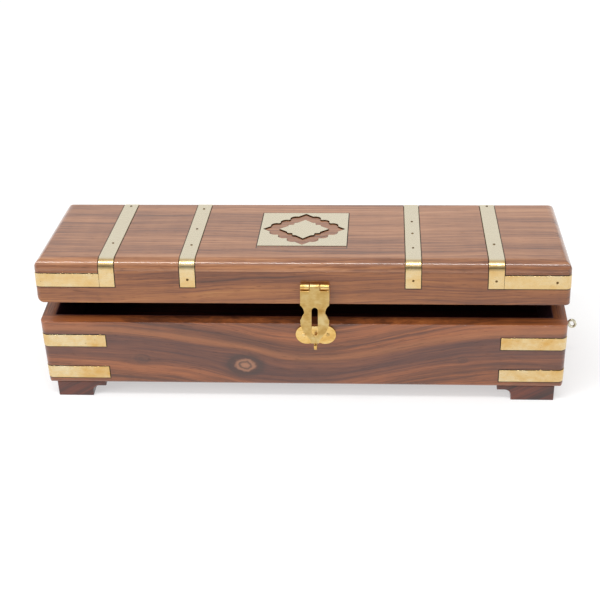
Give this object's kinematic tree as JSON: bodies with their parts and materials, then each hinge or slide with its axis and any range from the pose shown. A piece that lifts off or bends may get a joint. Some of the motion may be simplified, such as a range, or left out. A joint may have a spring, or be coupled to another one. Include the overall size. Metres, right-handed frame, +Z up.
{
  "type": "hinged game box",
  "caption": "Long hinged wooden box on bracket feet, with inlaid brass bands and corner straps, a lozenge medallion, a hasp and staple in front and a small eye on each end.",
  "frame": {"origin": "middle of the whole outline, on the surface that the feet stand on", "axes": "+X along the box to the right, +Y from the front to the hinges at the back, +Z up"},
  "size_m": [0.3244, 0.1086, 0.0913],
  "materials": {
    "wood": "oiled rosewood with a soft satin varnish",
    "dark_wood": "oiled dark rosewood",
    "brass": "brushed, lightly worn brass"
  },
  "bodies": {
    "base": {"base_front_board": "wood", "base_back_board": "wood", "base_left_board": "wood", "base_right_board": "wood", "base_floor": "wood", "foot_front_left": "dark_wood", "foot_front_right": "dark_wood", "foot_back_left": "dark_wood", "foot_back_right": "dark_wood", "base_strap_lower_front_left": "brass", "base_strap_lower_front_right": "brass", "base_strap_lower_back_left": "brass", "base_strap_lower_back_right": "brass", "base_strap_upper_front_left": "brass", "base_strap_upper_front_right": "brass", "base_strap_upper_back_left": "brass", "base_strap_upper_back_right": "brass", "staple_plate": "brass", "staple": "brass", "staple_plate_nails": "brass", "hinge_lower_leaf_left": "brass", "hinge_lower_leaf_right": "brass", "hinge_pin_left": "brass", "hinge_pin_right": "brass", "hinge_lower_screws": "brass", "end_eye_left": "brass", "end_eye_right": "brass"},
    "lid": {"lid_top_board": "wood", "lid_front_board": "wood", "lid_back_board": "wood", "lid_left_board": "wood", "lid_right_board": "wood", "lid_band_outer_left": "brass", "lid_band_inner_left": "brass", "lid_band_inner_right": "brass", "lid_band_outer_right": "brass", "lid_strap_front_left": "brass", "lid_strap_front_right": "brass", "lid_strap_back_left": "brass", "lid_strap_back_right": "brass", "lid_pins": "brass", "medallion_plate": "brass", "medallion_star": "brass", "hinge_upper_leaf_left": "brass", "hinge_upper_leaf_right": "brass", "hinge_upper_screws": "brass", "hasp_leaf": "brass", "hasp_leaf_nails": "brass", "hasp_pin": "brass"},
    "hasp": {"hasp_strap": "brass"}
  },
  "joints": [
    {"name": "lid_hinge", "type": "hinge", "parent": "base", "child": "lid", "pos_m": [0, 0.0524, 0.05335], "axis": [-1, 0, 0], "range_deg": [-7.7, 97]},
    {"name": "hasp_hinge", "type": "hinge", "parent": "lid", "child": "hasp", "pos_m": [0.0084, -0.04167, 0.07783], "axis": [-1, 0, 0], "range_deg": [-12.3, 160]}
  ]
}
